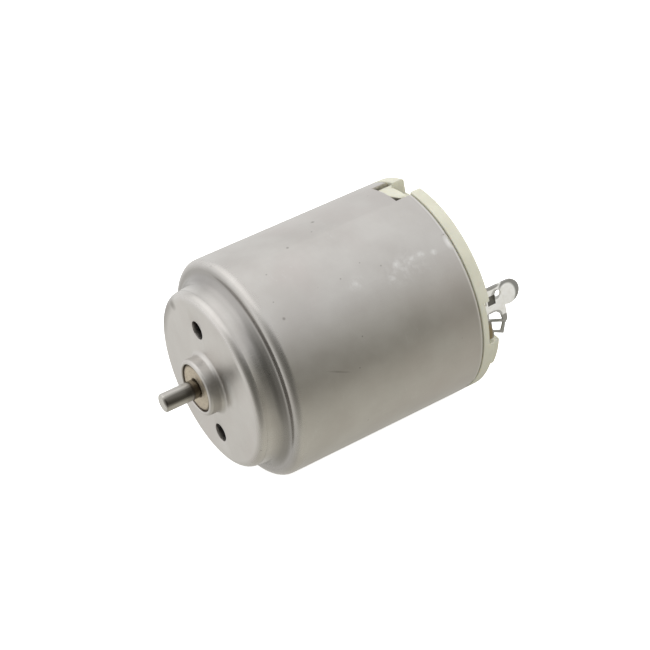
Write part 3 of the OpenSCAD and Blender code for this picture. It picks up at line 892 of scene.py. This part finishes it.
def make_end_cap():
    """Moulded cap: skirt, floor and rim, boss, keys, guards and posts, less its slots."""
    cap = turned("cap_moulding", rounded([
        (SKIRT_INNER_R, SKIRT_FRONT, 0.1),
        (SKIRT_R, SKIRT_FRONT, 0.2),
        (SKIRT_R, CAN_REAR, 0.0),
        (CAN_R, CAN_REAR, 0.12),
        (CAN_R, CAP_REAR, 0.3),
        (RECESS_R[1], CAP_REAR, 0.06),
        (RECESS_R[1], CAP_REAR - RECESS_DEPTH, 0.06),
        (RECESS_R[0], CAP_REAR - RECESS_DEPTH, 0.06),
        (RECESS_R[0], CAP_REAR, 0.06),
        (REAR_BOSS_R, CAP_REAR, 0.1),
        (REAR_BOSS_R, REAR_BOSS_REAR, 0.3),
        (REAR_SEAT_R, REAR_BOSS_REAR, 0.1),
        (REAR_SEAT_R, CAP_FLOOR_FRONT, 0.05),
        (SKIRT_INNER_R, CAP_FLOOR_FRONT, 0.2),
    ]))
    for degrees in (0, 180):
        gap = block("gap", (NOTCH_LEFT, 22, 9), (NOTCH_RIGHT, CAP_FLOOR_FRONT, 13))
        combine(cap, turn_about_shaft(gap, degrees), "DIFFERENCE")
    for degrees in (0, 180):
        key = turned("key", KEY_ARC, *KEY_ARC_ANGLES, steps=48)
        outline = sheet_block("outline", rounded(KEY_OUTLINE, steps=3), 9, 14)
        combine(key, outline, "INTERSECT")
        combine(cap, turn_about_shaft(key, degrees), "UNION")
        guard = turned("guard", GUARD, *GUARD_ANGLES, steps=40)
        combine(cap, turn_about_shaft(guard, degrees), "UNION")
        combine(cap, turn_about_shaft(block("post", *POST), degrees), "UNION")
        for low, high in CAP_CUTS:
            combine(cap, turn_about_shaft(block("cut", low, high), degrees), "DIFFERENCE")
    for degrees in CRIMP_ANGLES:
        room = block(
            "room",
            (-CRIMP_HALF_W - 0.1, CRIMP_FRONT - 0.1, CAN_INNER_R - CRIMP_DEPTH - 0.1),
            (CRIMP_HALF_W + 0.1, CAN_REAR, CAN_R),
        )
        combine(cap, turn_about_shaft(room, degrees), "DIFFERENCE")
    finish_edges(cap, 0.07)
    return dress(cap, "nylon", "stator", "end_cap")


# ---------------------------------------------------------------- terminals and inner pieces

def refine(node, width):
    """Stand-in for a CAD piece: the same shape with its sharp edges rounded.

    Faces that two solids of the piece share are inside it, so they are taken out first.
    """
    bm = bmesh.new()
    bm.from_mesh(frame["nodes"][node].data)
    at_corners = {}
    for face in bm.faces:
        corners = frozenset(tuple(round(c, 7) for c in vert.co) for vert in face.verts)
        at_corners.setdefault(corners, []).append(face)
    between_solids = [face for faces in at_corners.values() if len(faces) > 1 for face in faces]
    bmesh.ops.delete(bm, geom=between_solids, context="FACES")
    bmesh.ops.remove_doubles(bm, verts=bm.verts, dist=SAME_CORNER)
    bmesh.ops.dissolve_limit(bm, angle_limit=math.radians(1), verts=bm.verts, edges=bm.edges)
    piece = new_piece(node + "_piece", bm, turn_faces=False)
    finish_edges(piece, width)
    return dress(piece, slot_of[node], frame["nodes"][node]["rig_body"], node)


# Windings: a coil round each tooth, filled to the shoe's inner radius
WIRE_D = 0.24
COIL_MIDDLE_Y = 12.0
TOOTH_HALF_W = 1.35
COIL_INNER_HALF_L = 5.8
COIL_HALF_W = 3.1
COIL_R = (3.0, 6.2)
SHOE_INNER_R = 6.55
SHOWN_LAYERS = 2
LOOSENESS = 0.012

# The two leads of each winding, from the coil's rear corner round the sleeve to their hooks;
# the first two points are (radius, distance across the tooth, y)
LEAD_START = (4.9, 2.2, 19.0)
LEAD_BEND = (4.75, 1.9, 19.55)
LEAD_R = 4.62
LEAD_Y = 19.75
LEAD_RISE = 0.4
LEAD_STEPS = 12
LEAD_SWEEPS = ((1, 0), (-1, 120))
# Each hook holds two leads, this many degrees to either side of its middle
HOOK_SHARE = 3.5
HOOK_Y = 20.7
HOOK_POINTS = ((4.3, 0.32), (3.75, 0.36), (3.4, 0.36))


def wire(bm, path, closed, sides=6):
    """Round wire of the winding's thickness along points in metres."""
    rings = []
    count = len(path)
    side = None
    for i, point in enumerate(path):
        before = path[i - 1] if closed or i else point
        after = path[(i + 1) % count] if closed or i < count - 1 else point
        along = (after - before).normalized()
        side = side if side else along.orthogonal()
        side = (side - along * side.dot(along)).normalized()
        other = along.cross(side)
        ring = []
        for k in range(sides):
            turn = math.tau * k / sides
            outwards = side * math.cos(turn) + other * math.sin(turn)
            ring.append(bm.verts.new(point + outwards * WIRE_D / 2 * MM))
        rings.append(ring)
    for i in range(count if closed else count - 1):
        for k in range(sides):
            m = (k + 1) % sides
            after = rings[(i + 1) % count]
            bm.faces.new((rings[i][k], rings[i][m], after[m], after[k]))
    if not closed:
        bm.faces.new(rings[0])
        bm.faces.new(rings[-1])


def make_winding(node, degrees):
    """Turns of enamelled wire round one tooth, with the two ends led to the commutator's hooks.

    Hidden inner turns are left out; the first and last row have all their layers.
    """
    angle = math.radians(degrees)
    outward = Vector((math.sin(angle), 0, math.cos(angle)))
    across = Vector((math.cos(angle), 0, -math.sin(angle)))

    def place(radius, tangent, y):
        return (outward * radius + across * tangent + Vector((0, y, 0))) * MM

    bm = bmesh.new()
    radius = COIL_R[0] + WIRE_D / 2
    while radius <= COIL_R[1] - WIRE_D / 2 + 0.01:
        layers = 0
        while True:
            side = TOOTH_HALF_W + WIRE_D * (layers + 0.5) + WIRE_D / 2
            if side > COIL_HALF_W or math.hypot(radius, side) > SHOE_INNER_R:
                break
            layers += 1
        ends = radius < COIL_R[0] + WIRE_D or radius > COIL_R[1] - WIRE_D
        for layer in range(0 if ends else max(0, layers - SHOWN_LAYERS), layers):
            reach = WIRE_D * (layer + 0.5)
            half_w, half_l = TOOTH_HALF_W + reach, COIL_INNER_HALF_L + reach
            shift = random.uniform(-LOOSENESS, LOOSENESS)
            loop = rounded([
                (-half_w, COIL_MIDDLE_Y - half_l, reach), (half_w, COIL_MIDDLE_Y - half_l, reach),
                (half_w, COIL_MIDDLE_Y + half_l, reach), (-half_w, COIL_MIDDLE_Y + half_l, reach),
            ], steps=5)
            wire(bm, [place(radius + shift, tangent, y) for tangent, y in loop], closed=True)
        radius += WIRE_D
    for way, sweep in LEAD_SWEEPS:
        path = [place(radius, way * tangent, y) for radius, tangent, y in (LEAD_START, LEAD_BEND)]
        start = math.degrees(math.atan2(way * LEAD_BEND[1], LEAD_BEND[0]))
        end = way * (sweep + HOOK_SHARE)
        for step in range(1, LEAD_STEPS + 1):
            turn = math.radians(start + (end - start) * step / LEAD_STEPS) + angle
            path.append(around(LEAD_R, LEAD_Y + LEAD_RISE * step / LEAD_STEPS, turn))
        hook = math.radians(end) + angle
        path += [around(radius, HOOK_Y + rise, hook) for radius, rise in HOOK_POINTS]
        wire(bm, path, closed=False)
    piece = new_piece(node + "_turns", bm)
    finish_edges(piece, 0, 60)
    return dress(piece, "copper_wire", "rotor", node)


# ---------------------------------------------------------------- the motor

# Pieces that keep their CAD shape, with the width in millimetres that their edges are rounded by
EDGE_WIDTHS = {
    "terminal_right": 0.06, "terminal_left": 0.06,
    "magnet_right": 0.2, "magnet_left": 0.2, "magnet_clip": 0.08,
    "brush_spring_right": 0.03, "brush_spring_left": 0.03,
    "brush_right": 0.06, "brush_left": 0.06,
    "front_washer": 0.06, "front_spacer": 0.08, "rear_washer": 0.06,
    "rotor_laminations": 0.03, "front_insulator": 0.1, "rear_insulator": 0.1,
    "commutator_sleeve": 0.08, "commutator_ring": 0.06, "varistor_ring": 0.12,
    "commutator_bar_a": 0.05, "commutator_bar_b": 0.05, "commutator_bar_c": 0.05,
}

slot_of = {part["node"]: part["material_slot"] for part in frame["record"]["subparts"]}
make_can()
make_front_bearing()
make_rear_bearing()
make_shaft()
make_end_cap()
for node, degrees in (("winding_a", 0), ("winding_b", 120), ("winding_c", 240)):
    make_winding(node, degrees)
for node, width in EDGE_WIDTHS.items():
    refine(node, width)
for node, item in frame["nodes"].items():
    item.data.materials.clear()
    item.data.materials.append(MATERIALS[slot_of[node]])
